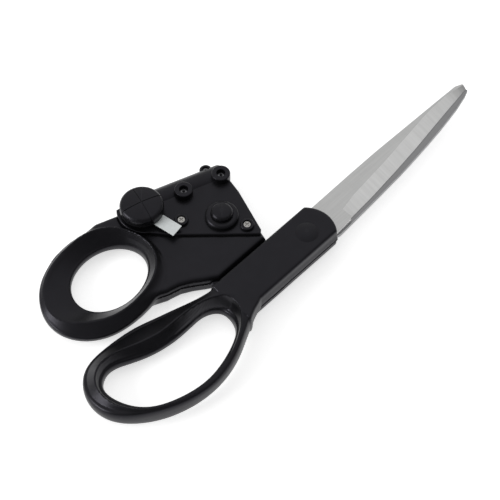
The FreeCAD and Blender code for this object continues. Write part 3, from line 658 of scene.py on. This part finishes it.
def black_plastic():
    """Semi-gloss black ABS: a faint moulded grain, cloudy gloss and a lighter colour on sharp convex edges."""
    made, shader, where = new_material("black_abs")
    links = made.node_tree.links
    gloss = spread(made, noise(made, where, scale=0.08, detail=4), *PLASTIC_ROUGHNESS)
    grain = noise(made, where, scale=2.2, detail=2)
    cloud = spread(made, noise(made, where, scale=0.15, detail=5), 0, 1)
    colour = mixed(made, cloud, PLASTIC_DARK, PLASTIC_LIGHT)
    shape = made.node_tree.nodes.new("ShaderNodeNewGeometry")
    # Sharp convex edges, found by pointiness, take the lighter colour.
    sharp_edge_share = spread(made, shape.outputs["Pointiness"], 0, 1, low_in=0.52, high_in=0.60)
    links.new(mixed(made, sharp_edge_share, colour, PLASTIC_EDGE_LIGHTER), shader.inputs["Base Color"])
    links.new(gloss, shader.inputs["Roughness"])
    shader.inputs["Specular IOR Level"].default_value = PLASTIC_SPECULAR
    shader.inputs["Specular Tint"].default_value = PLASTIC_SHEEN
    bump(made, shader, grain, strength=0.25, distance_mm=0.02)
    return made


def bevel_share(made):
    """How far each face leans away from level, from 0 on the blades' flats to 1 on their bevels."""
    links = made.node_tree.links
    shape = made.node_tree.nodes.new("ShaderNodeNewGeometry")
    parts = made.node_tree.nodes.new("ShaderNodeSeparateXYZ")
    links.new(shape.outputs["True Normal"], parts.inputs["Vector"])
    upright = made.node_tree.nodes.new("ShaderNodeMath")
    upright.operation = "ABSOLUTE"
    links.new(parts.outputs["Z"], upright.inputs[0])
    return spread(made, upright.outputs["Value"], 1, 0, *BEVEL_TILT)


def blade_steel():
    """Matt stainless steel, ground across the blade. It is brighter on the bevel. The lower blade gets a darker
    colour as painted shade, standing in for the shadow that the upper one casts on it."""
    made, shader, where = new_material("ground_stainless")
    links = made.node_tree.links
    turn = math.radians(GRIND_ANGLE)
    across = noise(made, where, 1.0, detail=6, stretch=(3.0, 0.12, 0.12), turn=turn)
    along = noise(made, where, 1.0, detail=4, stretch=(0.06, 1.6, 1.6), turn=turn)
    broad = noise(made, where, 1.0, detail=4, stretch=(0.6, 0.03, 0.03), turn=turn)
    flat_colour = mixed(made, spread(made, along, 0, 1), *STEEL_FLAT)
    bevel_colour = mixed(made, spread(made, broad, 0, 1), *STEEL_BEVEL)
    steel = mixed(made, bevel_share(made), flat_colour, bevel_colour)
    height = made.node_tree.nodes.new("ShaderNodeSeparateXYZ")
    links.new(where, height.inputs["Vector"])
    # Painted shade: below the blade plane the steel takes the darker colour that stands in for the upper blade's
    # shadow.
    upper = spread(made, height.outputs["Z"], 0, 1, BLADE_PLANE - SLIDE_GAP, BLADE_PLANE)
    links.new(mixed(made, upper, STEEL_PAINTED_SHADE, steel), shader.inputs["Base Color"])
    links.new(spread(made, across, *STEEL_ROUGHNESS), shader.inputs["Roughness"])
    shader.inputs["Metallic"].default_value = 1.0
    bump(made, shader, across, strength=0.2, distance_mm=0.012)
    return made


def metal(name, colour, rough):
    """A turned or plated metal with fine uneven polish."""
    made, shader, where = new_material(name)
    links = made.node_tree.links
    fine = noise(made, where, scale=1.5, detail=4)
    links.new(speckled(made, fine, colour, dark_share=0.82), shader.inputs["Base Color"])
    links.new(spread(made, fine, rough * 0.8, rough * 1.2), shader.inputs["Roughness"])
    shader.inputs["Metallic"].default_value = 1.0
    bump(made, shader, fine, strength=0.15, distance_mm=0.01)
    return made


def plain_plastic(name, colour, rough):
    """A moulded or film plastic with slight mottling."""
    made, shader, where = new_material(name)
    links = made.node_tree.links
    fine = noise(made, where, scale=0.9, detail=4)
    links.new(speckled(made, fine, colour, dark_share=0.92), shader.inputs["Base Color"])
    links.new(spread(made, fine, rough * 0.85, rough * 1.15), shader.inputs["Roughness"])
    bump(made, shader, fine, strength=0.1, distance_mm=0.01)
    return made


def clear_glass(name):
    """Clear polished glass with the faintest haze."""
    made, shader, where = new_material(name)
    haze = spread(made, noise(made, where, scale=0.5), 0.02, 0.06)
    made.node_tree.links.new(haze, shader.inputs["Roughness"])
    shader.inputs["Base Color"].default_value = (0.92, 0.95, 0.96, 1)
    shader.inputs["Transmission Weight"].default_value = 1.0
    shader.inputs["IOR"].default_value = 1.5
    return made


def slot_materials():
    """One Blender material for each of the record's slots."""
    return {
        "handle_plastic": black_plastic(),
        "blade_steel": blade_steel(),
        "fastener_steel": metal("bright_screw", (0.50, 0.49, 0.47), 0.30),
        "black_steel": metal("black_oxide", (0.16, 0.16, 0.17), 0.25),
        "nylon": plain_plastic("nylon", (0.80, 0.80, 0.76), 0.45),
        "contact_metal": metal("contact_nickel", (0.70, 0.69, 0.66), 0.28),
        "spring_steel": metal("spring_wire", (0.55, 0.55, 0.56), 0.3),
        "cell_steel": metal("cell_can", (0.72, 0.72, 0.72), 0.2),
        "board": plain_plastic("solder_mask", (0.05, 0.22, 0.10), 0.3),
        "component_black": plain_plastic("epoxy", (0.03, 0.03, 0.03), 0.5),
        "switch_white": plain_plastic("switch_plunger_white", (0.85, 0.85, 0.82), 0.4),
        "brass": metal("turned_brass", (0.78, 0.60, 0.28), 0.25),
        "diode_gold": metal("gold_plate", (0.80, 0.62, 0.30), 0.2),
        "clear": clear_glass("optical_glass"),
        "wire_black": plain_plastic("wire_jacket_black", (0.015, 0.015, 0.015), 0.45),
        "wire_red": plain_plastic("wire_jacket_red", (0.45, 0.02, 0.02), 0.45),
        "tab_film": plain_plastic("tab_film_white", (0.84, 0.88, 0.88), 0.5),
    }


def dress_nodes(materials):
    """Give every CAD node the material of its slot."""
    for row in frame["record"]["subparts"]:
        made = materials[row["material_slot"]]
        slots = frame["nodes"][row["node"]].data.materials
        if not slots:
            slots.append(made)
        for k in range(len(slots)):
            slots[k] = made


# ---- studio ----------------------------------------------------------------------------------------
def put_facing(name, data, position, towards, track):
    """Put a light or camera in the scene with its tracking axis along a direction."""
    thing = bpy.data.objects.new(name, data)
    thing.location = position
    thing.rotation_euler = towards.to_track_quat(track, "Y").to_euler()
    bpy.context.scene.collection.objects.link(thing)
    return thing


def direction(azimuth, elevation):
    """The unit vector from the object to a place, by its bearing from -Y and its elevation."""
    bearing = math.radians(azimuth)
    rise = math.radians(elevation)
    level = math.cos(rise)
    return Vector((math.sin(bearing) * level, -math.cos(bearing) * level, math.sin(rise)))


def floor():
    """A plain pale floor that glows a little, as a lit white table does."""
    half = FLOOR_HALF_M
    corners = [(-half, -half, 0), (half, -half, 0), (half, half, 0), (-half, half, 0)]
    mesh = bpy.data.meshes.new("floor")
    mesh.from_pydata(corners, [], [(0, 1, 2, 3)])
    plane = bpy.data.objects.new("floor", mesh)
    plane.location.z = -FLOOR_DROP_M
    bpy.context.scene.collection.objects.link(plane)
    pale, shader, where = new_material("pale_floor")
    cloud = spread(pale, noise(pale, where, scale=0.01), 0, 1)
    shade = mixed(pale, cloud, (0.90, 0.90, 0.90), (0.92, 0.92, 0.92))
    pale.node_tree.links.new(shade, shader.inputs["Base Color"])
    shader.inputs["Emission Color"].default_value = (1, 1, 1, 1)
    shader.inputs["Emission Strength"].default_value = FLOOR_GLOW
    shader.inputs["Roughness"].default_value = 0.9
    mesh.materials.append(pale)
    plane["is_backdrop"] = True


def sky():
    """A large pale reflector overhead that fades to dark surroundings low down."""
    world = bpy.data.worlds.new("studio")
    bpy.context.scene.world = world
    world.use_nodes = True
    nodes = world.node_tree.nodes
    links = world.node_tree.links
    sky_place = nodes.new("ShaderNodeTexCoord")
    towards = nodes.new("ShaderNodeVectorMath")
    towards.operation = "DOT_PRODUCT"
    towards.inputs[1].default_value = Vector(REFLECTOR).normalized()
    links.new(sky_place.outputs["Generated"], towards.inputs[0])
    glow = spread(world, towards.outputs["Value"], SKY_DARK, SKY_BRIGHT, *REFLECTOR_FADE)
    nodes["Background"].inputs["Color"].default_value = (1, 1, 1, 1)
    links.new(glow, nodes["Background"].inputs["Strength"])


def key_light():
    """A soft rectangular light, low to the left of the camera, that faces the pivot."""
    light = bpy.data.lights.new("key", "AREA")
    light.shape = "RECTANGLE"
    light.size, light.size_y = KEY_SIZE_M
    light.energy = KEY_POWER
    back = direction(KEY_AZIMUTH, KEY_ELEVATION)
    put_facing("key", light, back * KEY_DISTANCE_M, back, "Z")


def camera():
    """The camera, looking down across the shears from the handles towards the blades."""
    data = bpy.data.cameras.new("camera")
    data.lens = CAMERA_LENS
    data.sensor_width = CAMERA_SENSOR
    back = direction(CAMERA_AZIMUTH, CAMERA_ELEVATION)
    position = CAMERA_AIM_M + back * CAMERA_DISTANCE_M
    bpy.context.scene.camera = put_facing("camera", data, position, -back, "-Z")


materials = slot_materials()
dress_nodes(materials)
finger_handle(materials["handle_plastic"])
thumb_handle(materials["handle_plastic"])
springs(materials)
floor()
sky()
key_light()
camera()
bpy.context.scene.view_settings.view_transform = "Standard"

boxes = {"cad": cad_box, "visual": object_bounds()}
{name: [list(corner) for corner in box] for name, box in boxes.items()}
